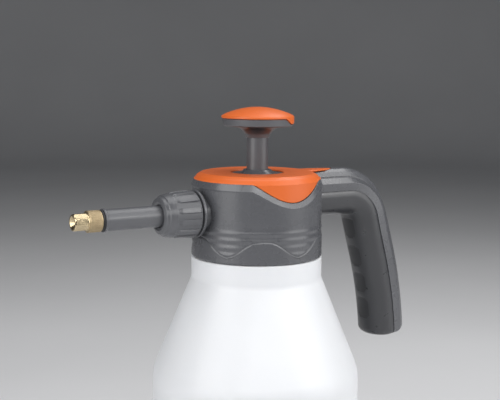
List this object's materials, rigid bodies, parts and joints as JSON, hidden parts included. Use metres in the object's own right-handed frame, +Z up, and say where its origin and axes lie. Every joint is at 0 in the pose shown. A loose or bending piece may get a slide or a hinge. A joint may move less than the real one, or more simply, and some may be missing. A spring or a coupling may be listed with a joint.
{
  "type": "pump sprayer",
  "caption": "Hand-held pressure sprayer: translucent bottle, screw-on pump head with thumb lever and curved grip, short spray tube with adjustable brass nozzle.",
  "frame": {"origin": "centre of the bottle's flat base, on the pump's axis", "axes": "+Z up along the pump's axis, -X along the spray tube towards the nozzle, +X towards the handle"},
  "size_m": [0.2322, 0.126, 0.2771],
  "materials": {
    "bottle_plastic": "translucent natural polyethylene, satin",
    "head_plastic": "moulded, satin",
    "grip_plastic": "moulded, fine texture",
    "orange_plastic": "moulded, satin gloss",
    "tube_plastic": "moulded, smooth",
    "inner_plastic": "moulded, natural",
    "seal_rubber": "matt",
    "nozzle_brass": "turned and knurled",
    "screw_steel": "zinc plated"
  },
  "bodies": {
    "bottle": {"bottle": "bottle_plastic"},
    "neck_gasket": {"neck_gasket": "seal_rubber"},
    "head": {"head_housing": "head_plastic", "top_cover": "orange_plastic", "pump_barrel": "inner_plastic", "barrel_seal": "seal_rubber", "barrel_check_valve": "seal_rubber", "pump_guide_cap": "head_plastic", "spray_tube_socket": "head_plastic", "tube_seal": "seal_rubber", "spray_tube": "tube_plastic", "nozzle_seal": "seal_rubber", "nozzle_insert": "inner_plastic", "outlet_hose": "inner_plastic", "valve_body": "inner_plastic", "valve_cap": "inner_plastic", "valve_spring": "screw_steel", "dip_tube": "inner_plastic", "suction_filter": "inner_plastic", "handle_outer_shell": "head_plastic", "handle_inner_grip": "grip_plastic", "bracket_screw": "screw_steel", "handle_screw_1": "screw_steel", "handle_screw_2": "screw_steel", "lever_pivot_pin": "screw_steel"},
    "piston_ring": {"piston_seal": "seal_rubber"},
    "plunger": {"piston_head": "inner_plastic", "pump_rod": "head_plastic", "knob_base": "head_plastic", "knob_cap": "orange_plastic"},
    "lever": {"thumb_lever": "head_plastic"},
    "valve_stem": {"valve_stem": "screw_steel", "valve_seal": "seal_rubber"},
    "union_nut": {"union_nut": "tube_plastic"},
    "nozzle": {"nozzle_cap": "nozzle_brass"}
  },
  "joints": [
    {"name": "head_lift", "type": "slide", "parent": "bottle", "child": "neck_gasket", "axis": [0, 0, 1], "range_m": [0, 0.21]},
    {"name": "head_turn", "type": "hinge", "parent": "neck_gasket", "child": "head", "pos_m": [0, 0, 0.188], "axis": [0, 0, 1], "continuous": true},
    {"name": "pump_stroke", "type": "slide", "parent": "head", "child": "piston_ring", "axis": [0, 0, 1], "range_m": [0, 0.085]},
    {"name": "knob_turn", "type": "hinge", "parent": "piston_ring", "child": "plunger", "pos_m": [0, 0, 0.268], "axis": [0, 0, 1], "continuous": true},
    {"name": "lever_press", "type": "hinge", "parent": "head", "child": "lever", "pos_m": [0.045, 0, 0.2288], "axis": [0, 1, 0], "range_deg": [0, 3.5], "stiffness_Nm_per_rad": 3, "springref_deg": -2.86},
    {"name": "valve_lift", "type": "slide", "parent": "head", "child": "valve_stem", "axis": [0, 0, 1], "range_m": [0, 0.0013], "deforming": ["valve_spring"]},
    {"name": "nut_turn", "type": "hinge", "parent": "head", "child": "union_nut", "pos_m": [-0.055, 0, 0.2157], "axis": [1, 0, 0], "continuous": true},
    {"name": "nozzle_turn", "type": "hinge", "parent": "head", "child": "nozzle", "pos_m": [-0.11, 0, 0.2157], "axis": [1, 0, 0], "range_deg": [0, 360]}
  ],
  "couplings": [
    {"joint": "valve_lift", "follows": "lever_press", "m_per_rad": 0.021}
  ]
}
